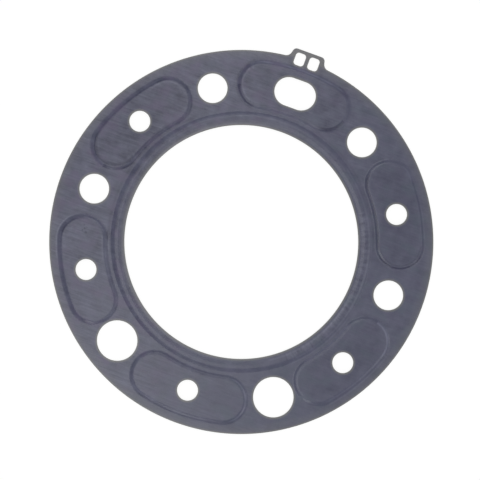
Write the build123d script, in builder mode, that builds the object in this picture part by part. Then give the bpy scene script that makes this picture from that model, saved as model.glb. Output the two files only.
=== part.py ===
"""Cylinder head gasket: one blanked and embossed sheet of rubber-coated steel.

The sheet lies flat on its underside at z = 0, with the cylinder bore on the Z axis
and the locating tab towards +Y.  Angles are taken from the tab, counter-clockwise
seen from above.  Every raised form is pressed from below, so it shows as a recess of
the same depth in the underside and the sheet keeps its thickness throughout.
"""
from build123d import *
from math import cos, radians, sin
import os

# Sheet and its two main circles
sheet_thickness = 0.5
outer_diameter = 110.0
bore_diameter = 67.0

# Cylinder studs: M8 clearance holes, and two larger ones that pass a ring dowel too
stud_hole_diameter = 8.5
stud_circle_radius = 44.8
stud_angles = (30.5, -30.5, 90.0, -90.0)
dowel_hole_diameter = 11.6
dowel_circle_radius = 45.4
dowel_angles = (148.4, -148.4)

# Coolant passages: five round holes, and one long slot beside the tab
coolant_hole_diameter = 6.0
coolant_circle_radius = 45.15
coolant_angles = (60.0, -60.0, 120.0, -120.0, 180.0)
slot_length = 12.1
slot_width = 8.3

# Raised ring round the bore: a rim, a gentle rise to the crest, a steeper outer side
rim_outer_radius = 34.5
rim_rise = 0.12
crest_inner_radius = 35.4
crest_outer_radius = 36.1
crest_rise = 0.2
ring_foot_radius = 37.4

# Flat strip that each pressed form carries round its foot
land = 0.3

# Raised fields round the coolant passages: curved slots whose edge is a half bead,
# with its crest eased by a narrow break
field_mid_radius = 45.5
field_half_width = 6.55
field_rise = 0.25
bead_run = 1.25
break_run = 0.25
break_drop = 0.03
field_half_sweeps = {
    0.0: 12.4,
    60.0: 12.4,
    -60.0: 11.3,
    120.0: 11.2,
    -120.0: 11.2,
    180.0: 13.3,
}

# Tab with two plain windows
tab_top = 57.6
tab_root = 54.2
tab_half_width_top = 4.55
tab_half_width_root = 5.45
tab_corner_radius = 1.2
tab_foot_radius = 1.8
window_width = 3.0
window_height = 3.65
window_spacing = 4.15
window_centre = 54.85
window_corner_radius = 0.9

# Worked out from the above
outer_radius = outer_diameter / 2
bore_radius = bore_diameter / 2
bead_crest = field_half_width - bead_run / 2
bead_foot = field_half_width + bead_run / 2
field_reach = bead_foot + land
ring_reach = ring_foot_radius + land
tab_angle = 90.0


def on_circle(radius, angle):
    """Return the point at a radius, at an angle from the tab."""
    turn = radians(tab_angle + angle)
    return (radius * cos(turn), radius * sin(turn))


def section_plane(origin, angle):
    """Return the upright plane through origin whose x axis points along the angle."""
    turn = radians(tab_angle + angle)
    return Plane(origin=origin, x_dir=(cos(turn), sin(turn), 0), z_dir=(sin(turn), -cos(turn), 0))


def half_field_section(plane):
    """Return a sketch of half a field's section, from its middle to its land."""
    with BuildSketch(plane) as section:
        with BuildLine():
            for level in (0, sheet_thickness):
                Polyline(
                    (0, level + field_rise),
                    (bead_crest, level + field_rise),
                    (bead_crest + break_run, level + field_rise - break_drop),
                    (bead_foot, level),
                    (field_reach, level),
                )
            Line((0, field_rise), (0, sheet_thickness + field_rise))
            Line((field_reach, 0), (field_reach, sheet_thickness))
        make_face()
    return section


def formed_field(centre_angle, half_sweep):
    """Return one raised field: its section turned about the bore, with round ends."""
    start_angle = centre_angle - half_sweep
    end_angle = centre_angle + half_sweep
    start = on_circle(field_mid_radius, start_angle)
    end = on_circle(field_mid_radius, end_angle)
    with BuildPart() as field:
        outward = half_field_section(section_plane(start, start_angle))
        revolve(outward.sketch, axis=Axis.Z, revolution_arc=2 * half_sweep)
        inward = half_field_section(section_plane(start, start_angle + 180))
        revolve(inward.sketch, axis=Axis.Z, revolution_arc=2 * half_sweep)
        revolve(inward.sketch, axis=Axis(start, (0, 0, 1)), revolution_arc=180)
        far_end = half_field_section(section_plane(end, end_angle))
        revolve(far_end.sketch, axis=Axis(end, (0, 0, 1)), revolution_arc=180)
    return field.part


with BuildPart() as gasket_sheet:
    # The flat sheet with its tab, blended into the rim, and room for the ring
    with BuildSketch() as blank:
        Circle(outer_radius)
        with BuildLine():
            Polyline(
                (-tab_half_width_root, tab_root),
                (-tab_half_width_top, tab_top),
                (tab_half_width_top, tab_top),
                (tab_half_width_root, tab_root),
                close=True,
            )
        make_face()
        corners = blank.vertices().filter_by(lambda v: v.Y > tab_top - tab_corner_radius)
        fillet(corners, radius=tab_corner_radius)
        feet = blank.vertices().filter_by(lambda v: tab_root < v.Y < outer_radius)
        fillet(feet, radius=tab_foot_radius)
        Circle(ring_reach, mode=Mode.SUBTRACT)
    extrude(amount=sheet_thickness)

    # The ring round the bore, turned from its section
    with BuildSketch(Plane.XZ):
        with BuildLine():
            for level in (0, sheet_thickness):
                Polyline(
                    (bore_radius, level + rim_rise),
                    (rim_outer_radius, level + rim_rise),
                    (crest_inner_radius, level + crest_rise),
                    (crest_outer_radius, level + crest_rise),
                    (ring_foot_radius, level),
                    (ring_reach, level),
                )
            Line((bore_radius, rim_rise), (bore_radius, sheet_thickness + rim_rise))
            Line((ring_reach, 0), (ring_reach, sheet_thickness))
        make_face()
    revolve(axis=Axis.Z)

    # The raised fields, each set into an opening of its own outline
    for centre_angle, half_sweep in field_half_sweeps.items():
        with BuildSketch():
            with BuildLine():
                first = tab_angle + centre_angle - half_sweep
                middle = CenterArc((0, 0), field_mid_radius, first, 2 * half_sweep, mode=Mode.PRIVATE)
            SlotArc(middle, 2 * field_reach)
        extrude(amount=sheet_thickness, mode=Mode.SUBTRACT)
        add(formed_field(centre_angle, half_sweep))

    # The openings, punched last through the formed sheet
    with Locations(*[on_circle(stud_circle_radius, angle) for angle in stud_angles]):
        Hole(stud_hole_diameter / 2)
    with Locations(*[on_circle(dowel_circle_radius, angle) for angle in dowel_angles]):
        Hole(dowel_hole_diameter / 2)
    with Locations(*[on_circle(coolant_circle_radius, angle) for angle in coolant_angles]):
        Hole(coolant_hole_diameter / 2)
    with BuildSketch():
        with Locations(on_circle(coolant_circle_radius, 0)):
            SlotOverall(slot_length, slot_width)
        with Locations((0, window_centre)):
            with GridLocations(window_spacing, 0, 2, 1):
                RectangleRounded(window_width, window_height, window_corner_radius)
    extrude(amount=sheet_thickness + field_rise, mode=Mode.SUBTRACT)

gasket_sheet.part.label = "gasket_sheet"

os.makedirs("parts", exist_ok=True)
export_step(gasket_sheet.part, "parts/gasket_sheet.step")
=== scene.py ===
"""Looks of a cylinder head gasket: one blanked and embossed sheet of coated steel.

The sheet is drawn flat in millimetres, triangulated along its cut outlines and its
forming lines, and then pressed to shape by a node tree.  Angles are in degrees from
the tab, counter-clockwise seen from above, as on the solid.
"""

import logging
from dataclasses import dataclass
from enum import Enum
from functools import reduce
from math import atan, cos, degrees, pi, radians, sin, sqrt, tan
from typing import Any, Iterable, Sequence

import bpy
import numpy as np
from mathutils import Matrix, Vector
from mathutils.geometry import delaunay_2d_cdt


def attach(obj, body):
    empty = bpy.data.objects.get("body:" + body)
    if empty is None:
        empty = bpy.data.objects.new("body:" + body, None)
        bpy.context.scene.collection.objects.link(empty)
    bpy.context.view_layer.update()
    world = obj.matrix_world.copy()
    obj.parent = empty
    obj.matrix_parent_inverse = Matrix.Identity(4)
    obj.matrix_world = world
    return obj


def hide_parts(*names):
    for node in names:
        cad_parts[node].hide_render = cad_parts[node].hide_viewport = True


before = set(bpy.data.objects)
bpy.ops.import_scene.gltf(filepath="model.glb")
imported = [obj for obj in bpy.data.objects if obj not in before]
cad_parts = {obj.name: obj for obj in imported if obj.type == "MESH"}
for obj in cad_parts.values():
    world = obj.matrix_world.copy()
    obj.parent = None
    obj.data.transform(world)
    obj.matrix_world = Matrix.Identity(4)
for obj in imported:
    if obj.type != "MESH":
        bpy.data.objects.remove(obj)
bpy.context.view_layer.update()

log = logging.getLogger("gasket")

MM = 0.001
TAB_ANGLE = 90.0
SAME_POINT = 1e-6
CHUNK = 2000
WHITE = (1.0, 1.0, 1.0, 1.0)
MEASURES = ("LENGTH", "DISTANCE", "DOT_PRODUCT")

Loop = np.ndarray
Triple = tuple[float, float, float]
Node, Socket, Tree = bpy.types.Node, bpy.types.NodeSocket, bpy.types.NodeTree
FLOAT, VECTOR, GEOMETRY, MATERIAL = (
    f"NodeSocket{kind}" for kind in ("Float", "Vector", "Geometry", "Material")
)


def on_circle(radius: float, angle: float) -> np.ndarray:
    """Return the x and y of a point at a radius, at an angle from the tab."""
    turn = radians(TAB_ANGLE + angle)
    return np.array((radius * cos(turn), radius * sin(turn)))


def arc(centre: Sequence[float], radius: float, first: float, last: float, steps: int) -> Loop:
    """Return points along an arc, both its ends included, by its angles from +X."""
    turn = np.radians(np.linspace(first, last, steps + 1))
    return np.column_stack((centre[0] + radius * np.cos(turn), centre[1] + radius * np.sin(turn)))


def ring_loop(centre: Sequence[float], radius: float, count: int) -> Loop:
    """Return a full circle as a closed loop, counter-clockwise."""
    return arc(centre, radius, 0.0, 360.0, count)[:-1]


def rounded_box(
    centre: Sequence[float], width: float, height: float, radius: float, steps: int
) -> Loop:
    """Draw an upright rectangle with round corners.

    Args:
        centre: Centre of the rectangle.
        width: Full size along x.
        height: Full size along y.
        radius: Corner radius.
        steps: Number of steps in each corner.

    Returns:
        The loop's points, counter-clockwise.
    """
    across, up = width / 2 - radius, height / 2 - radius
    corners = ((across, up, 0.0), (-across, up, 90.0), (-across, -up, 180.0), (across, -up, 270.0))
    parts = [
        arc((centre[0] + x, centre[1] + y), radius, start, start + 90.0, steps)
        for x, y, start in corners
    ]
    return np.vstack(parts)


def spaced(loop: Loop, longest: float) -> Loop:
    """Divide a closed loop's long sides and drop its repeated points.

    Args:
        loop: The loop's points.
        longest: Longest side allowed.

    Returns:
        The same loop with no side longer than that.
    """
    points = []
    for here, there in zip(loop, np.roll(loop, -1, axis=0)):
        length = float(np.hypot(*(there - here)))
        if length < SAME_POINT:
            continue
        parts = max(1, round(length / longest))
        points += [here + (there - here) * part / parts for part in range(parts)]
    return np.array(points)


def inside(points: np.ndarray, loop: Loop) -> np.ndarray:
    """Tell which points lie inside a closed loop, by counting crossings.

    Args:
        points: The points to test.
        loop: The loop's points.

    Returns:
        True for each point that lies inside.
    """
    found = np.zeros(len(points), bool)
    near = np.flatnonzero(np.all((points > loop.min(0)) & (points < loop.max(0)), axis=1))
    x0, y0 = loop.T
    x1, y1 = np.roll(loop, -1, axis=0).T
    rise = np.where(y1 == y0, 1.0, y1 - y0)
    for part in np.array_split(near, len(near) // CHUNK + 1):
        x, y = points[part, 0, None], points[part, 1, None]
        crossed = ((y0 > y) != (y1 > y)) & (x < (x1 - x0) * (y - y0) / rise + x0)
        found[part] = crossed.sum(axis=1) % 2 == 1
    return found


def gap_to(points: np.ndarray, others: np.ndarray) -> np.ndarray:
    """Measure how far each point is from the nearest of some others.

    Args:
        points: The points to measure from.
        others: The points to measure to.

    Returns:
        One distance for each point.
    """
    gaps = np.full(len(points), np.inf)
    for part in np.array_split(np.arange(len(points)), len(points) // CHUNK + 1):
        away = points[part, None, :] - others[None, :, :]
        gaps[part] = np.sqrt((away**2).sum(axis=2).min(axis=1))
    return gaps


class Cut(Enum):
    """Which side of a cut outline the steel is on."""

    RIM = 1
    OPENING = -1


@dataclass(frozen=True)
class Outline:
    """A closed line along which the sheet is cut."""

    points: Loop
    cut: Cut

    def inset(self, distance: float) -> Loop:
        """Move the line into the steel.

        Args:
            distance: How far, in millimetres.

        Returns:
            The moved loop.
        """
        along = np.roll(self.points, -1, axis=0) - np.roll(self.points, 1, axis=0)
        along /= np.hypot(*along.T)[:, None]
        leftwards = np.column_stack((-along[:, 1], along[:, 0]))
        return self.points + leftwards * distance * self.cut.value


@dataclass(frozen=True)
class RoundHole:
    """A round hole punched at several places on one circle."""

    diameter: float
    circle_radius: float
    angles: tuple[float, ...]
    sides: int

    def outlines(self) -> list[Outline]:
        """Draw the holes.

        Returns:
            The outline of each hole.
        """
        centres = (on_circle(self.circle_radius, angle) for angle in self.angles)
        loops = (ring_loop(centre, self.diameter / 2, self.sides) for centre in centres)
        return [Outline(loop, Cut.OPENING) for loop in loops]


@dataclass(frozen=True)
class CoolantSlot:
    """The long coolant opening beside the tab."""

    length: float = 12.1
    width: float = 8.3
    circle_radius: float = 45.15
    corner_steps: int = 16
    longest_side: float = 0.45

    def outlines(self) -> list[Outline]:
        """Draw the slot.

        Returns:
            The slot's one outline.
        """
        box = rounded_box(
            (0.0, self.circle_radius), self.length, self.width, self.width / 2, self.corner_steps
        )
        return [Outline(spaced(box, self.longest_side), Cut.OPENING)]


@dataclass(frozen=True)
class TabWindows:
    """The two plain windows of the tab."""

    width: float = 3.0
    height: float = 3.65
    spacing: float = 4.15
    centre: float = 54.85
    corner_radius: float = 0.9
    corner_steps: int = 6
    longest_side: float = 0.35

    def outlines(self) -> list[Outline]:
        """Draw the windows.

        Returns:
            The outline of each window.
        """
        shape = (self.width, self.height, self.corner_radius, self.corner_steps)
        centres = ((x, self.centre) for x in (-self.spacing / 2, self.spacing / 2))
        boxes = (spaced(rounded_box(centre, *shape), self.longest_side) for centre in centres)
        return [Outline(box, Cut.OPENING) for box in boxes]


@dataclass(frozen=True)
class Rim:
    """The outer edge: a circle with a tab blended into it."""

    radius: float = 55.0
    tab_top: float = 57.6
    tab_root: float = 54.2
    half_width_top: float = 4.55
    half_width_root: float = 5.45
    corner_radius: float = 1.2
    foot_radius: float = 1.8
    circle_steps: int = 350
    curve_steps: int = 7
    longest_side: float = 0.96

    def outlines(self) -> list[Outline]:
        """Draw the whole edge.

        Returns:
            Its one outline, counter-clockwise.
        """
        root = np.array((self.half_width_root, self.tab_root))
        top = np.array((self.half_width_top, self.tab_top))
        up = (top - root) / np.hypot(*(top - root))
        outward = np.array((up[1], -up[0]))
        lean = degrees(atan(-up[0] / up[1]))

        # The foot's centre is its radius off the tab's side and off the circle
        start = root + outward * self.foot_radius
        reach = self.radius + self.foot_radius
        along = start @ up
        foot = start + up * (sqrt(along**2 - start @ start + reach**2) - along)
        from_bore = degrees(np.arctan2(foot[1], foot[0]))
        foot_arc = arc(foot, self.foot_radius, 180.0 + from_bore, 180.0 + lean, self.curve_steps)

        inset = self.corner_radius * tan(radians(90.0 - lean) / 2)
        corner = top + np.array((-inset, -self.corner_radius))
        corner_arc = arc(corner, self.corner_radius, lean, 90.0, self.curve_steps)

        right = np.vstack((foot_arc, corner_arc))
        left = right[::-1] * (-1, 1)
        circle = arc((0, 0), self.radius, 180.0 - from_bore, 360.0 + from_bore, self.circle_steps)
        edge = spaced(np.vstack((circle, right, left)), self.longest_side)
        return [Outline(edge, Cut.RIM)]


@dataclass(frozen=True)
class FormedField:
    """One raised field: where it is, how long, and how much darker its coat is."""

    centre: float
    half_sweep: float
    darker: float


@dataclass(frozen=True)
class FieldShape:
    """The section and the places of the raised fields."""

    mid_radius: float = 45.5
    half_width: float = 6.55
    bead_run: float = 1.25
    rise: float = 0.25
    fold_radius: float = 45.3
    fold_offset: float = 0.07
    fold_run: float = 0.55
    fold_share: float = 0.45
    shade_run: float = 0.8
    rows: int = 15
    margin: float = 0.2
    arc_steps: int = 30
    cap_steps: int = 36
    fields: tuple[FormedField, ...] = (
        FormedField(0.0, 12.4, 0.15),
        FormedField(60.0, 12.4, 0.33),
        FormedField(-60.0, 11.3, 0.15),
        FormedField(120.0, 11.2, 0.0),
        FormedField(-120.0, 11.2, 0.15),
        FormedField(180.0, 13.3, 0.1),
    )

    @property
    def crest(self) -> float:
        """Distance of the bead's top edge from the field's centre line."""
        return self.half_width - self.bead_run / 2

    @property
    def foot(self) -> float:
        """Distance of the bead's bottom edge from the field's centre line."""
        return self.half_width + self.bead_run / 2

    @property
    def fold(self) -> float:
        """Distance of the bead's steepest line from the field's centre line."""
        return self.half_width + self.fold_offset

    def row(self, placed: FormedField, distance: float) -> Loop:
        """Draw the line at one distance round a field's centre line.

        Args:
            placed: The field.
            distance: Distance from its centre line.

        Returns:
            The line as a closed loop, counter-clockwise.
        """
        first = TAB_ANGLE + placed.centre - placed.half_sweep
        last = TAB_ANGLE + placed.centre + placed.half_sweep
        start = on_circle(self.mid_radius, placed.centre - placed.half_sweep)
        end = on_circle(self.mid_radius, placed.centre + placed.half_sweep)
        parts = (
            arc((0, 0), self.mid_radius + distance, first, last, self.arc_steps),
            arc(end, distance, last, last + 180.0, self.cap_steps)[1:],
            arc((0, 0), self.mid_radius - distance, last, first, self.arc_steps)[1:],
            arc(start, distance, first + 180.0, first + 360.0, self.cap_steps)[1:-1],
        )
        return np.vstack(parts)

    def loops(self) -> list[Loop]:
        """Draw the forming lines.

        Returns:
            Every line of every field.
        """
        distances = (
            self.crest - self.margin,
            *np.linspace(self.crest, self.foot, self.rows),
            self.foot + self.margin,
        )
        return [self.row(placed, distance) for placed in self.fields for distance in distances]

    def distance(self, points: np.ndarray) -> np.ndarray:
        """Measure how far each point is from the nearest field's centre line.

        Args:
            points: The points, in millimetres.

        Returns:
            One distance for each point.
        """
        radius = np.hypot(*points.T)
        turn = np.degrees(np.arctan2(points[:, 1], points[:, 0])) - TAB_ANGLE
        gaps = []
        for placed in self.fields:
            off = np.abs((turn - placed.centre + 180.0) % 360.0 - 180.0) - placed.half_sweep
            bend = np.cos(np.radians(np.maximum(off, 0.0)))
            squared = radius**2 + self.mid_radius**2 - 2 * radius * self.mid_radius * bend
            gaps.append(np.sqrt(np.maximum(squared, 0.0)))
        return np.min(gaps, axis=0)


@dataclass(frozen=True)
class RingShape:
    """The raised ring round the bore, with its rim and its crest."""

    bore_radius: float = 33.5
    rim_radius: float = 34.4
    rim_rise: float = 0.12
    crest_inner_radius: float = 35.4
    crest_outer_radius: float = 36.15
    fall_power: float = 1.5
    crest_rise: float = 0.2
    foot_radius: float = 37.4
    first_row: float = 33.75
    last_row: float = 37.6
    rows: int = 32
    sides: int = 300

    def outlines(self) -> list[Outline]:
        """Return the outline of the bore."""
        return [Outline(ring_loop((0, 0), self.bore_radius, self.sides), Cut.OPENING)]

    def loops(self) -> list[Loop]:
        """Return every forming line of the ring."""
        radii = np.linspace(self.first_row, self.last_row, self.rows)
        return [ring_loop((0, 0), radius, self.sides) for radius in radii]


@dataclass(frozen=True)
class Fade:
    """An eased change from one value to another across a range of millimetres."""

    low: float
    high: float
    start: float
    end: float


@dataclass
class Wiring:
    """A node tree with short ways to add and join its nodes."""

    tree: Tree

    def feed(self, socket: Socket, value: Any) -> None:
        """Link a socket into another, or set it to a plain value.

        Args:
            socket: The input socket.
            value: An output socket or the value itself.
        """
        if isinstance(value, Socket):
            self.tree.links.new(value, socket)
        else:
            socket.default_value = value

    def add(self, kind: str, inputs: dict[Any, Any] | None = None, **settings: Any) -> Node:
        """Add a node.

        Args:
            kind: The node's type.
            inputs: What goes into each input, by its name or place.
            **settings: The node's own settings.

        Returns:
            The new node.
        """
        node = self.tree.nodes.new(kind)
        for name, value in settings.items():
            setattr(node, name, value)
        for key, value in (inputs or {}).items():
            self.feed(node.inputs[key], value)
        return node

    def math(self, operation: str, *values: Any) -> Socket:
        """Add a step of arithmetic and return its result."""
        return self.add("ShaderNodeMath", dict(enumerate(values)), operation=operation).outputs[0]

    def times(self, first: Any, second: Any) -> Socket:
        """Multiply two values and return the product."""
        return self.math("MULTIPLY", first, second)

    def chain(self, operation: str, values: Iterable[Any]) -> Socket:
        """Join values by one step of arithmetic after another, and return the result."""
        return reduce(lambda first, second: self.math(operation, first, second), values)

    def vector(self, operation: str, *values: Any) -> Socket:
        """Add a step of vector arithmetic and return its result, a vector or a measure."""
        node = self.add("ShaderNodeVectorMath", dict(enumerate(values)), operation=operation)
        return node.outputs["Value" if operation in MEASURES else "Vector"]

    def swing(self, noise: Socket, strength: Any) -> Socket:
        """Return how far a noise is off its middle, times a strength."""
        return self.times(self.math("SUBTRACT", noise, 0.5), strength)

    def ramp(
        self, value: Any, low: Any, high: Any, start: Any, end: Any, pace: str = "SMOOTHSTEP"
    ) -> Socket:
        """Go from a start to an end while a value goes from low to high, eased or evenly."""
        inputs = {"Value": value, 1: low, 2: high, 3: start, 4: end}
        return self.add("ShaderNodeMapRange", inputs, interpolation_type=pace).outputs["Result"]

    def fade(self, value: Any, fade: Fade) -> Socket:
        """Add a fade that follows a distance in metres, and return its result."""
        return self.ramp(value, fade.low * MM, fade.high * MM, fade.start, fade.end)

    def line(self, value: Any, middle: float, reach: float) -> Socket:
        """Return 1 where a value passes its middle, fading to 0 at its reach from there."""
        away = self.math("ABSOLUTE", self.math("SUBTRACT", value, middle))
        return self.ramp(away, 0.0, reach, 1.0, 0.0)

    def mix(self, share: Any, first: Any, second: Any, kept: bool = True) -> Socket:
        """Mix two colours.

        Args:
            share: How much of the second there is, from 0 to 1.
            first: A colour or a socket.
            second: A colour or a socket.
            kept: Whether the share is kept between 0 and 1.

        Returns:
            The mixed colour's socket.
        """
        first, second = (
            (*shade, 1.0) if isinstance(shade, tuple) else shade for shade in (first, second)
        )
        inputs = {"Factor": share, 6: first, 7: second}
        return self.add("ShaderNodeMix", inputs, data_type="RGBA", clamp_factor=kept).outputs[2]

    def open_inputs(self, sockets: dict[str, str]) -> Node:
        """Declare a group's inputs and add the node they come from.

        Args:
            sockets: The socket type of each named input.

        Returns:
            The group's input node.
        """
        for name, kind in sockets.items():
            self.tree.interface.new_socket(name, in_out="INPUT", socket_type=kind)
        return self.add("NodeGroupInput")

    def close_output(self, name: str, kind: str, value: Socket) -> None:
        """Declare a group's one output and link it."""
        self.tree.interface.new_socket(name, in_out="OUTPUT", socket_type=kind)
        self.add("NodeGroupOutput", {0: value})


def shader(owner: bpy.types.Material | bpy.types.World) -> Wiring:
    """Switch on the nodes of a material or the world, and return its tree to wire."""
    owner.use_nodes = True
    return Wiring(owner.node_tree)


def put(name: str, data: bpy.types.ID) -> bpy.types.Object:
    """Make an object and link it into the scene.

    Args:
        name: Its name.
        data: Its mesh, lamp or camera.

    Returns:
        The object.
    """
    made = bpy.data.objects.new(name, data)
    bpy.context.scene.collection.objects.link(made)
    return made


class Mark(Enum):
    """What the pressed sheet remembers at each of its points, for its coat."""

    CUT = "on_cut"
    EDGE_GAP = "edge_gap"
    BEAD_GAP = "bead_gap"
    DARKER = "darker"


@dataclass(frozen=True)
class Press:
    """The press tool: a node tree that turns the flat blank into the finished sheet."""

    fields: FieldShape
    ring: RingShape
    edge_break: float
    thickness: float = 0.5
    crease_angle: float = 30.0
    weld: float = 0.001

    def sizes(self) -> dict[str, float]:
        """List the tree's sizes.

        Returns:
            Each size by its name, in metres.
        """
        sizes = {
            "Thickness": self.thickness,
            "Edge Break": self.edge_break,
            "Weld": self.weld,
            "Field Radius": self.fields.mid_radius,
            "Field Half Width": self.fields.half_width,
            "Bead Crest": self.fields.crest,
            "Bead Foot": self.fields.foot,
            "Field Rise": self.fields.rise,
            "Fold Radius": self.fields.fold_radius,
            "Fold Crest": self.fields.fold - self.fields.fold_run / 2,
            "Fold Foot": self.fields.fold + self.fields.fold_run / 2,
            "Rim Radius": self.ring.rim_radius,
            "Rim Rise": self.ring.rim_rise,
            "Crest Inner Radius": self.ring.crest_inner_radius,
            "Crest Outer Radius": self.ring.crest_outer_radius,
            "Crest Rise": self.ring.crest_rise,
            "Ring Foot Radius": self.ring.foot_radius,
        }
        return {name: size * MM for name, size in sizes.items()}

    def field_gap(self) -> Tree:
        """Build the group that measures a point's distance from one field's centre line.

        Returns:
            The group's tree.
        """
        tree = bpy.data.node_groups.new("field_gap", "GeometryNodeTree")
        wires = Wiring(tree)
        given = wires.open_inputs(
            {"Point": VECTOR, "Centre Angle": FLOAT, "Half Sweep": FLOAT, "Field Radius": FLOAT}
        ).outputs
        turned = wires.add(
            "ShaderNodeVectorRotate",
            {"Vector": given["Point"], "Angle": wires.times(given["Centre Angle"], -1.0)},
            rotation_type="Z_AXIS",
        )
        flat = wires.add("ShaderNodeSeparateXYZ", {0: turned.outputs[0]}).outputs
        turn = wires.math("ABSOLUTE", wires.math("ARCTAN2", flat["Y"], flat["X"]))
        past_end = wires.math("MAXIMUM", wires.math("SUBTRACT", turn, given["Half Sweep"]), 0.0)
        radius = wires.vector("LENGTH", given["Point"])
        lengths = (radius, given["Field Radius"])
        squares = wires.math("ADD", *(wires.math("POWER", length, 2.0) for length in lengths))
        twice = wires.times(wires.times(*lengths), 2.0)
        mixed = wires.times(twice, wires.math("COSINE", past_end))
        left = wires.math("MAXIMUM", wires.math("SUBTRACT", squares, mixed), 0.0)
        wires.close_output("Gap", FLOAT, wires.math("SQRT", left))
        return tree

    def tree(self) -> Tree:
        """Build the press tool's tree.

        Returns:
            The tree, which takes the flat blank and gives the closed, pressed sheet.
        """
        tree = bpy.data.node_groups.new("press_sheet", "GeometryNodeTree")
        wires = Wiring(tree)
        sockets = {"Blank": GEOMETRY, "Coat": MATERIAL, "Cut Steel": MATERIAL}
        sockets |= {name: FLOAT for name in self.sizes()}
        given = wires.open_inputs(sockets).outputs

        # Mark the cut outlines, and measure how far each point is from them
        faces = wires.add("GeometryNodeInputMeshEdgeNeighbors").outputs["Face Count"]
        on_cut = wires.add(
            "FunctionNodeCompare", {2: faces, 3: 1}, data_type="INT", operation="EQUAL"
        ).outputs[0]
        marked = self.remember(wires, given["Blank"], Mark.CUT, on_cut, "BOOLEAN")
        lines = wires.add("GeometryNodeSeparateGeometry", {0: marked, 1: on_cut}, domain="EDGE")
        near = wires.add("GeometryNodeProximity", {0: lines.outputs[0]}, target_element="EDGES")
        blank = self.remember(wires, marked, Mark.EDGE_GAP, near.outputs["Distance"], "FLOAT")

        # Give the blank its thickness, with an underside that faces down
        up = wires.add("ShaderNodeCombineXYZ", {"Z": given["Thickness"]}).outputs[0]
        raised = wires.add(
            "GeometryNodeExtrudeMesh", {0: blank, "Offset": up, "Individual": False}, mode="FACES"
        )
        under = wires.add("GeometryNodeFlipFaces", {"Mesh": blank}).outputs[0]
        joined = wires.add("GeometryNodeJoinGeometry")
        for shell in (under, raised.outputs["Mesh"]):
            tree.links.new(shell, joined.inputs[0])
        inputs = {0: joined.outputs[0], "Distance": given["Weld"]}
        slab = wires.add("GeometryNodeMergeByDistance", inputs).outputs[0]

        # Work out how high the fields and the ring stand at each point
        place = wires.add("GeometryNodeInputPosition").outputs[0]
        level = wires.vector("MULTIPLY", place, (1.0, 1.0, 0.0))
        group = self.field_gap()
        gaps = self.field_gaps(wires, group, level, given["Field Radius"])
        fold_gaps = self.field_gaps(wires, group, level, given["Fold Radius"])
        gap, fold_gap = (wires.chain("MINIMUM", each) for each in (gaps, fold_gaps))
        slope = wires.ramp(gap, given["Bead Foot"], given["Bead Crest"], 0.0, 1.0, "LINEAR")
        fold = wires.ramp(fold_gap, given["Fold Foot"], given["Fold Crest"], 0.0, 1.0, "LINEAR")
        share = self.fields.fold_share
        form = wires.math("ADD", wires.times(slope, 1.0 - share), wires.times(fold, share))
        radius = wires.vector("LENGTH", level)
        names = ("Rim Radius", "Crest Inner Radius", "Rim Rise", "Crest Rise")
        inner = wires.ramp(radius, *(given[name] for name in names), "LINEAR")
        names = ("Crest Outer Radius", "Ring Foot Radius")
        fallen = wires.ramp(radius, *(given[name] for name in names), 0.0, 1.0, "LINEAR")
        curled = wires.math("SUBTRACT", 1.0, wires.math("POWER", fallen, self.ring.fall_power))
        outer = wires.times(curled, given["Crest Rise"])
        lift = wires.math(
            "ADD", wires.times(form, given["Field Rise"]), wires.math("MINIMUM", inner, outer)
        )

        # Remember where the beads run, and how dark each field's coat is
        bead_gap = wires.math("SUBTRACT", gap, given["Field Half Width"])
        shaped = self.remember(wires, slab, Mark.BEAD_GAP, bead_gap, "FLOAT")
        run = (self.fields.crest, self.fields.crest - self.fields.shade_run)
        shades = [
            wires.fade(here, Fade(*run, 0.0, placed.darker))
            for here, placed in zip(gaps, self.fields.fields)
        ]
        darker = wires.chain("ADD", shades)
        shaped = self.remember(wires, shaped, Mark.DARKER, darker, "FLOAT")

        # Ease the cut edges: down on the top face, up on the underside
        height = wires.add("ShaderNodeSeparateXYZ", {0: place}).outputs["Z"]
        is_top = wires.math("GREATER_THAN", height, wires.times(given["Thickness"], 0.5))
        way = wires.math("SUBTRACT", 1.0, wires.times(is_top, 2.0))
        inputs = {"Name": Mark.CUT.value}
        known = wires.add("GeometryNodeInputNamedAttribute", inputs, data_type="FLOAT")
        ease = wires.times(known.outputs["Attribute"], given["Edge Break"])
        rise = wires.math("ADD", lift, wires.times(ease, way))
        offset = wires.add("ShaderNodeCombineXYZ", {"Z": rise}).outputs[0]
        pressed = wires.add("GeometryNodeSetPosition", {"Geometry": shaped, "Offset": offset})

        # Shade smoothly, but not across the cut edges
        inputs = {0: pressed.outputs[0], "Shade Smooth": True}
        smooth = wires.add("GeometryNodeSetShadeSmooth", inputs, domain="FACE").outputs[0]
        bend = wires.add("GeometryNodeInputMeshEdgeAngle").outputs["Unsigned Angle"]
        sharp = wires.add(
            "FunctionNodeCompare",
            {0: bend, 1: radians(self.crease_angle)},
            data_type="FLOAT",
            operation="GREATER_THAN",
        ).outputs[0]
        inputs = {0: smooth, "Selection": sharp, "Shade Smooth": False}
        shaded = wires.add("GeometryNodeSetShadeSmooth", inputs, domain="EDGE").outputs[0]
        real = wires.add("GeometryNodeRealizeInstances", {0: shaded}).outputs[0]
        coated = wires.add("GeometryNodeSetMaterial", {0: real, "Material": given["Coat"]})
        sides = {"Selection": raised.outputs["Side"], "Material": given["Cut Steel"]}
        finished = wires.add("GeometryNodeSetMaterial", {0: coated.outputs[0], **sides})
        wires.close_output("Sheet", GEOMETRY, finished.outputs[0])
        return tree

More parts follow.
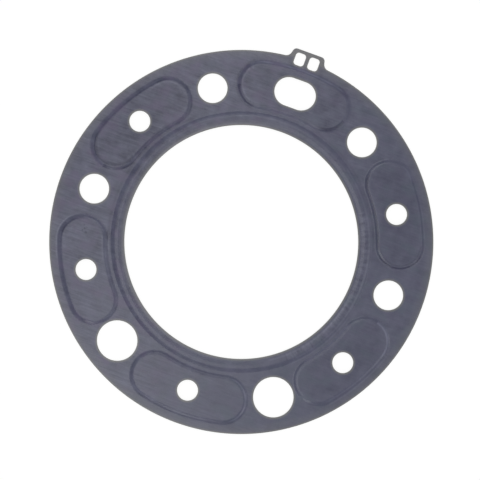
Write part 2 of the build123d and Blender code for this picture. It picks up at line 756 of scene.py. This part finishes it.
    def field_gaps(
        self, wires: Wiring, group: Tree, place: Socket, radius: Socket
    ) -> list[Socket]:
        """Measure each point's distance from every field's centre line.

        Args:
            wires: The tree being built.
            group: The group that measures it for one field.
            place: The point, brought down to the level of the bore's centre.
            radius: Radius of the centre lines.

        Returns:
            The distance's socket for each field.
        """
        gaps = []
        for placed in self.fields.fields:
            inputs = {
                "Point": place,
                "Centre Angle": radians(TAB_ANGLE + placed.centre),
                "Half Sweep": radians(placed.half_sweep),
                "Field Radius": radius,
            }
            gaps.append(wires.add("GeometryNodeGroup", inputs, node_tree=group).outputs["Gap"])
        return gaps

    @staticmethod
    def remember(wires: Wiring, geometry: Socket, mark: Mark, value: Socket, kind: str) -> Socket:
        """Store a value of some kind at each point of the sheet, and return the sheet."""
        inputs = {"Geometry": geometry, "Name": mark.value, "Value": value}
        return wires.add("GeometryNodeStoreNamedAttribute", inputs, data_type=kind).outputs[0]


def rows(kind: type, *table: tuple[float, ...]) -> tuple[Any, ...]:
    """Return one record of a kind for each row of a table."""
    return tuple(kind(*row) for row in table)


@dataclass(frozen=True)
class PaintedCrease:
    """A line along a bead with painted shade or a painted highlight in its coat, partly dirt or
    rubbed coat, a gap outwards from its middle.
    """

    angle: float
    reach: float
    gap: float
    tone: float


@dataclass(frozen=True)
class Band:
    """A stretch of a circle round the bore whose coat's tone changes: painted shade or a painted
    highlight along the beads, or how deep the cracks show.
    """

    angle: float
    reach: float
    radius: float
    half_width: float
    tone: float


@dataclass(frozen=True)
class Speck:
    """A small round mark on the coat."""

    angle: float
    radius: float
    size: float
    tone: float


@dataclass(frozen=True)
class Pattern:
    """Noise in finer and finer layers, by how many spots fit a unit of length each way."""

    spots: Triple
    layers: float = 2.0
    strength: float = 1.0
    layer_share: float = 0.6

    def wire(self, wires: Wiring, place: Socket) -> Socket:
        """Add the pattern to a tree.

        Args:
            wires: The tree being built.
            place: Where the pattern is read.

        Returns:
            The pattern's socket.
        """
        mapped = wires.add("ShaderNodeMapping", {"Vector": place, "Scale": self.spots})
        inputs = {"Scale": 1.0, "Detail": self.layers, "Roughness": self.layer_share}
        noise = wires.add("ShaderNodeTexNoise", {"Vector": mapped.outputs[0], **inputs})
        return noise.outputs["Fac"]


@dataclass(frozen=True)
class CoatMarksAndShading:
    """Every mark on the coat, each with its change of tone: painted shade and painted highlights
    along the beads and round the ring, specks, and cracks.
    """

    fold_circle: float = 45.3
    crease_width: float = 0.45
    longest_fade: float = 1.5

    # Creases on the bore's side of a field's bead, on the rim's side, and on both: painted shade
    # where they darken and painted highlights where they lighten, for how the beads catch the
    # light, and only partly dirt in the folds and rubbed crests
    inner: tuple[PaintedCrease, ...] = rows(
        PaintedCrease,
        (2.0, 9.0, 0.2, 0.4),
        (-2.0, 12.0, -0.55, -0.3),
        (-6.0, 4.0, -0.1, -0.45),
        (-18.0, 3.5, -0.5, -0.6),
        (-18.0, 3.5, -0.05, -0.45),
        (18.5, 3.5, -0.4, -0.45),
        (18.5, 3.0, 0.1, -0.75),
        (74.0, 5.0, 0.6, -0.4),
        (80.0, 3.5, -0.15, -0.6),
        (79.0, 4.5, 0.45, -0.5),
        (60.0, 15.0, -0.3, -0.5),
        (54.0, 6.0, -0.8, -0.35),
        (62.0, 12.0, 0.25, -0.3),
        (45.5, 3.0, 0.05, -0.6),
        (-58.0, 15.5, 0.25, -0.4),
        (-58.0, 15.5, -0.25, -1.05),
        (104.0, 5.0, 0.7, -0.4),
        (112.0, 5.0, -0.9, 0.35),
        (126.0, 14.0, -0.15, 0.25),
        (-120.0, 12.0, 0.25, 0.55),
    )
    outer: tuple[PaintedCrease, ...] = rows(
        PaintedCrease,
        (0.0, 14.0, -0.05, 0.9),
        (10.0, 6.5, 0.05, 0.35),
        (8.0, 7.0, -0.3, 0.15),
        (60.0, 15.0, -0.4, -0.35),
        (66.0, 6.0, -0.8, -0.25),
        (45.5, 4.0, -0.95, 0.5),
        (-60.0, 12.0, -0.12, -0.12),
        (-73.0, 3.0, 0.2, -0.35),
        (-47.5, 2.5, -0.2, 0.45),
        (108.0, 7.0, 0.9, 0.7),
        (106.0, 5.0, -0.55, -0.45),
        (-120.0, 12.0, -0.12, 0.35),
        (-120.0, 12.0, 0.9, 0.3),
        (-104.5, 4.5, -0.25, 1.05),
        (-102.7, 2.5, 0.1, 0.55),
        (180.0, 12.0, -0.12, 0.15),
        (169.0, 3.0, -0.4, 0.45),
        (166.0, 4.0, -0.1, 0.45),
    )
    both: tuple[PaintedCrease, ...] = rows(
        PaintedCrease,
        (19.5, 3.0, -0.9, 0.4),
        (19.0, 3.0, 0.8, -0.45),
        (78.0, 6.0, -0.75, -1.05),
        (79.0, 4.0, -1.2, -0.4),
        (43.5, 5.5, 0.45, -0.3),
        (43.5, 5.5, -0.4, -0.15),
        (-78.5, 3.0, 0.05, -0.75),
        (-77.5, 6.0, -0.65, -0.45),
        (-160.5, 3.0, -0.05, 0.75),
    )

    # Bands round the ring's bead and along the fields' edges: painted shade where they darken and
    # painted highlights where they lighten
    painted_bands: tuple[Band, ...] = rows(
        Band,
        (15.0, 30.0, 36.5, 0.9, 0.35),
        (75.0, 35.0, 38.1, 0.8, -0.4),
        (70.0, 35.0, 36.0, 0.45, -0.35),
        (75.0, 35.0, 34.3, 0.45, -0.45),
        (-122.0, 25.0, 34.8, 0.5, 0.4),
        (-112.0, 12.0, 34.8, 0.5, 0.3),
        (-85.0, 50.0, 36.7, 0.45, 0.3),
        (-45.0, 30.0, 37.9, 0.7, -0.25),
        (-122.0, 16.0, 37.5, 0.5, 0.3),
        (140.0, 40.0, 34.9, 0.6, 0.1),
        (160.0, 20.0, 34.1, 0.5, 0.25),
        (35.0, 30.0, 33.9, 0.5, 0.7),
        (110.0, 4.0, 38.1, 0.3, 0.5),
        (-17.0, 8.0, 51.5, 2.0, -0.2),
        (0.0, 5.0, 53.3, 1.0, -0.55),
    )
    specks: tuple[Speck, ...] = rows(
        Speck,
        (106.4, 44.6, 0.55, -1.2),
        (104.9, 45.0, 0.45, -1.0),
        (103.6, 45.2, 0.45, -0.8),
        (105.6, 45.6, 0.4, -0.8),
        (104.6, 44.4, 0.35, -0.7),
        (106.3, 41.2, 0.5, -1.0),
        (17.4, 49.6, 0.6, 0.8),
        (16.0, 49.9, 0.4, 0.7),
    )
    cracked: Band = Band(-97.0, 42.0, 35.4, 2.2, 2.4)
    cracks: Pattern = Pattern((34.0, 34.0, 300.0))

    def tone(self, wires: Wiring, place: Socket, radius: Socket, bead_gap: Socket) -> Socket:
        """Add up what every mark does to the coat's tone, the painted shade and highlights
        included.

        Args:
            wires: The tree being built.
            place: The point.
            radius: Its distance from the bore's centre.
            bead_gap: Its distance from the middle of the nearest bead.

        Returns:
            The change of tone.
        """
        level = wires.vector("MULTIPLY", place, (1.0, 1.0, 0.0))
        way = wires.vector("NORMALIZE", level)
        beyond = wires.math("GREATER_THAN", radius, self.fold_circle * MM)
        within = wires.math("SUBTRACT", 1.0, beyond)
        changes = []
        # Creases: painted shade and painted highlights along the beads, partly dirt and rubbed
        # coat
        for creases, side in ((self.inner, within), (self.outer, beyond), (self.both, 1.0)):
            for crease in creases:
                line = wires.line(bead_gap, crease.gap * MM, self.crease_width * MM)
                line = wires.times(line, side)
                changes.append(wires.times(line, self.stretch(wires, way, crease)))
        # Bands: painted shade and painted highlights round the ring and the fields
        changes += [self.banded(wires, way, radius, band) for band in self.painted_bands]
        for speck in self.specks:
            centre = (*(on_circle(speck.radius, speck.angle) * MM), 0.0)
            away = wires.vector("DISTANCE", level, centre)
            changes.append(wires.ramp(away, 0.0, speck.size * MM, speck.tone, 0.0))

        # Short cracks run outwards across the ring
        outwards = wires.add("ShaderNodeCombineXYZ", {"Z": radius}).outputs[0]
        spun = wires.vector("ADD", way, outwards)
        depth = self.banded(wires, way, radius, self.cracked)
        changes.append(wires.swing(self.cracks.wire(wires, spun), depth))
        return wires.chain("ADD", changes)

    def banded(self, wires: Wiring, way: Socket, radius: Socket, band: Band) -> Socket:
        """Return a band's tone at a point, by the point's way and distance from the bore."""
        line = wires.line(radius, band.radius * MM, band.half_width * MM)
        return wires.times(line, self.stretch(wires, way, band))

    def stretch(self, wires: Wiring, way: Socket, mark: PaintedCrease | Band) -> Socket:
        """Limit a mark to its stretch of the circle, fading at both ends.

        Args:
            wires: The tree being built.
            way: The way from the bore's centre to the point, of length one.
            mark: The mark.

        Returns:
            The mark's tone within the stretch and 0 outside it.
        """
        facing = wires.vector("DOT_PRODUCT", way, (*on_circle(1.0, mark.angle), 0.0))
        fade = min(self.longest_fade, mark.reach)
        ends = [cos(radians(mark.reach + spread)) for spread in (fade, -fade)]
        return wires.ramp(facing, *ends, 0.0, mark.tone)


@dataclass(frozen=True)
class Tint:
    """Patches of another colour, and how much of it they show from right to left."""

    colour: Triple
    offset: float
    share: Fade


@dataclass(frozen=True)
class RubberCoat:
    """Thin satin slate coat with rolling grain, mottling, rubbed cut edges, and painted shade and
    highlights along its beads.
    """

    dark: Triple = (0.022, 0.024, 0.058)
    light: Triple = (0.075, 0.079, 0.128)
    tone: float = 0.45
    darkest: float = -0.35
    lightest: float = 1.6
    marks_and_shading: CoatMarksAndShading = CoatMarksAndShading()

    # Grain, and where it is stronger: towards the left, off the ring and off the beads
    grain: Pattern = Pattern((200.0, 2300.0, 300.0), 3.0)
    streak: Pattern = Pattern((30.0, 800.0, 200.0), 2.0, 0.7)
    mottle: Pattern = Pattern((300.0, 300.0, 300.0), 4.0)
    cloud: Pattern = Pattern((70.0, 70.0, 70.0), 2.0, 0.4)
    leftwards: Triple = (-0.985, 0.174, 0.0)
    rolled: Fade = Fade(-40.0, 30.0, 0.5, 1.8)
    mottled: Fade = Fade(-40.0, 30.0, 0.9, 2.1)
    off_ring: Fade = Fade(38.2, 40.0, 0.35, 0.9)
    off_bead: float = 1.4
    least_grain: float = 0.3

    # Patches of other tints
    tints: tuple[Tint, ...] = (
        Tint((0.058, 0.044, 0.1), 0.0, Fade(-20.0, 20.0, 0.15, 0.6)),
        Tint((0.036, 0.056, 0.082), 0.5, Fade(-20.0, 20.0, 0.35, 0.15)),
    )
    patch: Pattern = Pattern((180.0, 240.0, 180.0))
    patch_edge: tuple[float, float] = (0.45, 0.7)

    # Where the steel shows through: at the cuts, on the tab, round the bore, at the rim
    steel: Triple = (0.125, 0.125, 0.118)
    bare_cut: Fade = Fade(0.1, 0.8, 0.75, 0.0)
    bare_tab: Fade = Fade(54.4, 55.6, 0.0, 0.7)
    bare_bore: Fade = Fade(33.8, 35.6, 1.0, 0.0)
    bore_share: Fade = Fade(-10.0, 20.0, 0.0, 0.3)
    bare_rim: Fade = Fade(0.4, 2.4, 1.0, 0.2)
    rim_share: Fade = Fade(52.0, 53.2, 0.0, 0.2)

    roughness: float = 0.24
    roughness_spread: float = 0.12
    relief: float = 0.02
    grain_relief: float = 0.5

    def material(self) -> bpy.types.Material:
        """Make the coat.

        Returns:
            Its material.
        """
        made = bpy.data.materials.new("rubber_coat")
        wires = shader(made)
        surface = made.node_tree.nodes["Principled BSDF"]
        place = wires.add("ShaderNodeTexCoord").outputs["Object"]
        radius = wires.vector("LENGTH", place)
        across = wires.vector("DOT_PRODUCT", place, self.leftwards)
        bead_gap, darker, edge_gap = (
            wires.add("ShaderNodeAttribute", attribute_name=mark.value).outputs["Fac"]
            for mark in (Mark.BEAD_GAP, Mark.DARKER, Mark.EDGE_GAP)
        )
        grain, streak, mottle, cloud = (
            pattern.wire(wires, place)
            for pattern in (self.grain, self.streak, self.mottle, self.cloud)
        )

        rolled = wires.times(wires.fade(radius, self.off_ring), wires.fade(across, self.rolled))
        calm = wires.math("SUBTRACT", 1.0, wires.line(bead_gap, 0.0, self.off_bead * MM))
        rolled = wires.times(rolled, wires.math("MAXIMUM", calm, self.least_grain))
        changes = (
            wires.math("SUBTRACT", self.tone, darker),
            wires.swing(grain, rolled),
            wires.swing(streak, wires.times(rolled, self.streak.strength)),
            wires.swing(mottle, wires.fade(across, self.mottled)),
            wires.swing(cloud, self.cloud.strength),
            # Painted shade and highlights along the beads and round the ring, with specks and
            # cracks
            self.marks_and_shading.tone(wires, place, radius, bead_gap),
        )
        tone = wires.math("MAXIMUM", wires.chain("ADD", changes), self.darkest)
        tone = wires.math("MINIMUM", tone, self.lightest)

        body = wires.mix(tone, self.dark, self.light, kept=False)
        for tint in self.tints:
            moved = wires.vector("ADD", place, (tint.offset, tint.offset, 0.0))
            share = wires.fade(across, tint.share)
            patch = wires.ramp(self.patch.wire(wires, moved), *self.patch_edge, 0.0, share)
            body = wires.mix(patch, body, tint.colour)

        bare = (
            wires.fade(edge_gap, self.bare_cut),
            wires.fade(radius, self.bare_tab),
            wires.times(wires.fade(radius, self.bare_bore), wires.fade(across, self.bore_share)),
            wires.times(wires.fade(edge_gap, self.bare_rim), wires.fade(radius, self.rim_share)),
        )
        rubbed = wires.chain("MAXIMUM", bare)
        wires.feed(surface.inputs["Base Color"], wires.mix(rubbed, body, self.steel))

        spread = wires.swing(mottle, self.roughness_spread)
        wires.feed(surface.inputs["Roughness"], wires.math("ADD", self.roughness, spread))
        relief = wires.math("ADD", wires.times(grain, self.grain_relief), streak)
        bump = wires.add(
            "ShaderNodeBump", {"Strength": 1.0, "Distance": self.relief * MM, "Height": relief}
        )
        wires.feed(surface.inputs["Normal"], bump.outputs[0])
        return made


@dataclass(frozen=True)
class CutSteel:
    """Bare punched steel on the cut walls."""

    dark: Triple = (0.16, 0.155, 0.14)
    light: Triple = (0.26, 0.25, 0.23)
    shear: Pattern = Pattern((1500.0, 1500.0, 300.0))
    metallic: float = 0.6
    roughness: float = 0.45

    def material(self) -> bpy.types.Material:
        """Make the punched steel.

        Returns:
            Its material.
        """
        made = bpy.data.materials.new("cut_steel")
        wires = shader(made)
        surface = made.node_tree.nodes["Principled BSDF"]
        place = wires.add("ShaderNodeTexCoord").outputs["Object"]
        colour = wires.mix(self.shear.wire(wires, place), self.dark, self.light)
        wires.feed(surface.inputs["Base Color"], colour)
        surface.inputs["Metallic"].default_value = self.metallic
        surface.inputs["Roughness"].default_value = self.roughness
        return made


@dataclass
class GasketSheet:
    """The whole gasket: its blank, the press that forms it, and its two finishes."""

    rim: Rim = Rim()
    ring: RingShape = RingShape()
    fields: FieldShape = FieldShape()
    slot: CoolantSlot = CoolantSlot()
    windows: TabWindows = TabWindows()
    stud_holes: RoundHole = RoundHole(8.5, 44.8, (30.5, -30.5, 90.0, -90.0), 64)
    dowel_holes: RoundHole = RoundHole(11.6, 45.4, (148.4, -148.4), 80)
    coolant_holes: RoundHole = RoundHole(6.0, 45.15, (60.0, -60.0, 120.0, -120.0, 180.0), 48)
    coat: RubberCoat = RubberCoat()
    cut_steel: CutSteel = CutSteel()
    edge_break: float = 0.05
    loose_insets: tuple[float, ...] = (0.35, 0.8, 1.35)
    inset_share: float = 0.93
    loose_spacing: float = 0.6
    lattice: float = 2.0
    clearance: float = 0.3

    def outlines(self) -> list[Outline]:
        """Draw the cut outlines.

        Returns:
            Every outline, the rim first.
        """
        holes = (self.stud_holes, self.dowel_holes, self.coolant_holes)
        makers = (self.rim, self.ring, *holes, self.slot, self.windows)
        return [outline for maker in makers for outline in maker.outlines()]

    def loose_points(self, outlines: Iterable[Outline]) -> np.ndarray:
        """Find points that fill the flat parts of the blank evenly.

        Args:
            outlines: The cut outlines.

        Returns:
            The points, clear of every outline and forming line.
        """
        cuts = np.vstack([outline.points for outline in outlines])
        kept = []
        for inset in self.loose_insets:
            rows = np.vstack([spaced(o.inset(inset), self.loose_spacing) for o in outlines])
            kept.append(rows[gap_to(rows, cuts) > self.inset_share * inset])
        reach = self.rim.tab_top
        x, y = np.meshgrid(*(np.arange(-reach, reach, self.lattice),) * 2)
        x[1::2] += self.lattice / 2
        grid = np.column_stack((x.ravel(), y.ravel()))
        grid = grid[gap_to(grid, cuts) > self.loose_insets[-1] + self.clearance]
        points = np.vstack((*kept, grid))
        away = self.fields.distance(points)
        formed = np.abs(away - self.fields.half_width) < (
            self.fields.bead_run / 2 + self.fields.margin + self.clearance
        )
        ringed = np.hypot(*points.T) < self.ring.last_row + self.clearance
        return points[~formed & ~ringed & self.in_steel(points, outlines)]

    @staticmethod
    def in_steel(points: np.ndarray, outlines: Iterable[Outline]) -> np.ndarray:
        """Tell which points lie in the steel.

        Args:
            points: The points to test.
            outlines: The cut outlines.

        Returns:
            True for each point inside the rim and outside every opening.
        """
        steel = np.ones(len(points), bool)
        for outline in outlines:
            steel &= inside(points, outline.points) == (outline.cut is Cut.RIM)
        return steel

    def blank(self) -> bpy.types.Mesh:
        """Triangulate the flat blank along its outlines and forming lines.

        Returns:
            The blank as a flat mesh in metres, facing up.
        """
        outlines = self.outlines()
        loops = [outline.points for outline in outlines]
        loops += [outline.inset(self.edge_break) for outline in outlines]
        loops += self.fields.loops() + self.ring.loops()
        loose = self.loose_points(outlines)

        points = np.vstack((*loops, loose))
        lines: list[tuple[int, int]] = []
        first = 0
        for loop in loops:
            count = len(loop)
            lines += [(first + step, first + (step + 1) % count) for step in range(count)]
            first += count
        flat, _, faces, *_ = delaunay_2d_cdt(
            [Vector(point) for point in points.tolist()], lines, [], 0, SAME_POINT, False
        )
        placed = np.array([tuple(point) for point in flat])
        corners = np.array(faces)
        steel = self.in_steel(placed[corners].mean(axis=1), outlines)
        used, renumbered = np.unique(corners[steel], return_inverse=True)
        kept = renumbered.reshape(-1, 3)
        spread = np.column_stack((placed[used] * MM, np.zeros(len(used))))
        a, b, c = (spread[kept[:, corner]] for corner in range(3))
        clockwise = np.cross(b - a, c - a)[:, 2] < 0
        kept[clockwise] = kept[clockwise][:, ::-1]

        mesh = bpy.data.meshes.new("blank")
        mesh.from_pydata(spread.tolist(), [], kept.tolist())
        mesh.validate()
        log.info("blank: %d points, %d triangles", len(mesh.vertices), len(mesh.polygons))
        return mesh

    def build(self) -> bpy.types.Object:
        """Press the blank and dress it.

        Returns:
            The finished sheet, a plain mesh with no modifier.
        """
        press = Press(self.fields, self.ring, self.edge_break)
        flat = put("flat_blank", self.blank())
        tool = flat.modifiers.new("press", "NODES")
        tool.node_group = press.tree()
        finishes = {"Coat": self.coat.material(), "Cut Steel": self.cut_steel.material()}
        given = finishes | press.sizes()
        for socket in tool.node_group.interface.items_tree:
            if socket.in_out == "INPUT" and socket.name in given:
                tool[socket.identifier] = given[socket.name]
        evaluated = flat.evaluated_get(bpy.context.evaluated_depsgraph_get())
        mesh = bpy.data.meshes.new_from_object(evaluated)
        mesh.name = "embossed_sheet"
        bpy.data.objects.remove(flat)
        sheet = put("embossed_sheet", mesh)
        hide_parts("gasket_sheet")
        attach(sheet, "root")
        return sheet


@dataclass(frozen=True)
class Softbox:
    """A square lamp: which way it hangs, how far it leans over, and how bright it is."""

    name: str
    turn: float
    lean: float
    height: float
    size: float
    radiance: float


@dataclass
class Studio:
    """White floor, soft light from above, and a camera that looks straight down."""

    floor_size: float = 6.0
    floor_drop: float = 0.05
    floor_paint: tuple[float, ...] = (0.8, 0.8, 0.8, 1.0)
    floor_glow: float = 1.05
    glow_share: float = 0.85
    world_strength: float = 0.82
    turn: float = 19.95
    view_width: float = 137.44
    distance: float = 450.0
    aim: tuple[float, float] = (-0.372, 0.573)
    sheet_top: float = 0.5
    sensor: float = 36.0
    lamps: tuple[Softbox, ...] = (
        Softbox("top_softbox", 220.0, 0.09, 4.0, 0.8, 2.15),
        Softbox("back_softbox", 110.0, 0.24, 1.0, 0.22, 2.2),
        Softbox("front_softbox", 260.0, 0.24, 1.0, 0.22, 1.8),
        Softbox("low_front_softbox", 270.0, 0.82, 1.0, 0.25, 3.6),
        Softbox("low_right_softbox", 340.0, 0.82, 1.0, 0.25, 1.8),
        Softbox("right_softbox", 20.0, 0.45, 1.0, 0.3, 0.7),
        Softbox("near_right_softbox", 355.0, 0.42, 0.42, 0.1, 1.2),
    )

    def sight(self, wires: Wiring) -> Socket:
        """Add what tells rays of sight, mirror and glass from rays of light.

        Args:
            wires: The tree being built.

        Returns:
            A socket that is 1 for rays of sight, mirror or glass.
        """
        rays = wires.add("ShaderNodeLightPath").outputs
        seen = wires.math("MAXIMUM", rays["Is Camera Ray"], rays["Is Glossy Ray"])
        return wires.math("MAXIMUM", seen, rays["Is Transmission Ray"])

    def build_floor(self) -> None:
        """Lay the white floor under the sheet."""
        half = self.floor_size / 2
        mesh = bpy.data.meshes.new("floor")
        corners = ((-half, -half), (half, -half), (half, half), (-half, half))
        mesh.from_pydata([(x, y, -self.floor_drop * MM) for x, y in corners], [], [(0, 1, 2, 3)])
        floor = put("floor", mesh)
        paint = bpy.data.materials.new("white_floor")
        wires = shader(paint)
        paint.node_tree.nodes.remove(paint.node_tree.nodes["Principled BSDF"])
        matt = wires.add("ShaderNodeBsdfDiffuse", {"Color": self.floor_paint})
        glow = wires.add("ShaderNodeEmission", {"Color": WHITE, "Strength": self.floor_glow})
        share = wires.times(self.sight(wires), self.glow_share)
        mix = wires.add("ShaderNodeMixShader", {0: share, 1: matt.outputs[0], 2: glow.outputs[0]})
        wires.feed(paint.node_tree.nodes["Material Output"].inputs["Surface"], mix.outputs[0])
        mesh.materials.append(paint)

    def build_world(self) -> None:
        """Surround the scene with plain light that looks white."""
        world = bpy.data.worlds.new("studio")
        bpy.context.scene.world = world
        wires = shader(world)
        inputs = {"Factor": self.sight(wires), 2: self.world_strength, 3: 1.0}
        strength = wires.add("ShaderNodeMix", inputs, data_type="FLOAT").outputs[0]
        background = world.node_tree.nodes["Background"]
        wires.feed(background.inputs["Strength"], strength)
        background.inputs["Color"].default_value = WHITE

    @staticmethod
    def build_lamp(softbox: Softbox) -> None:
        """Hang a soft square lamp that faces the sheet.

        Args:
            softbox: Where it hangs, how large it is and how bright.
        """
        data = bpy.data.lights.new(softbox.name, "AREA")
        data.shape = "SQUARE"
        data.size = softbox.size
        data.energy = softbox.radiance * pi * softbox.size**2
        lamp = put(softbox.name, data)
        reach = softbox.height * softbox.lean
        turn = radians(softbox.turn)
        lamp.location = (reach * cos(turn), reach * sin(turn), softbox.height)
        lamp.rotation_mode = "QUATERNION"
        lamp.rotation_quaternion = lamp.location.to_track_quat("Z", "Y")

    def build_camera(self) -> None:
        """Set the camera above the sheet, turned so that the tab leans right."""
        data = bpy.data.cameras.new("camera")
        data.sensor_width = self.sensor
        data.lens = self.sensor * self.distance / self.view_width
        camera = put("camera", data)
        turn = radians(self.turn)
        right, up = self.aim
        camera.location = (
            (right * cos(turn) - up * sin(turn)) * MM,
            (right * sin(turn) + up * cos(turn)) * MM,
            (self.distance + self.sheet_top) * MM,
        )
        camera.rotation_euler = (0.0, 0.0, turn)
        bpy.context.scene.camera = camera

    def build(self) -> None:
        """Set up the camera, floor, world and lamps."""
        self.build_camera()
        self.build_floor()
        self.build_world()
        for lamp in self.lamps:
            self.build_lamp(lamp)
        bpy.context.scene.view_settings.view_transform = "Standard"


def main() -> None:
    """Build the studio and the gasket, and report each piece."""
    logging.basicConfig(level=logging.INFO, format="%(name)s: %(message)s")
    Studio().build()
    sheet = GasketSheet().build()
    mesh = sheet.data
    log.info("%s: %d points, %d faces", sheet.name, len(mesh.vertices), len(mesh.polygons))


if __name__ == "__main__":
    main()
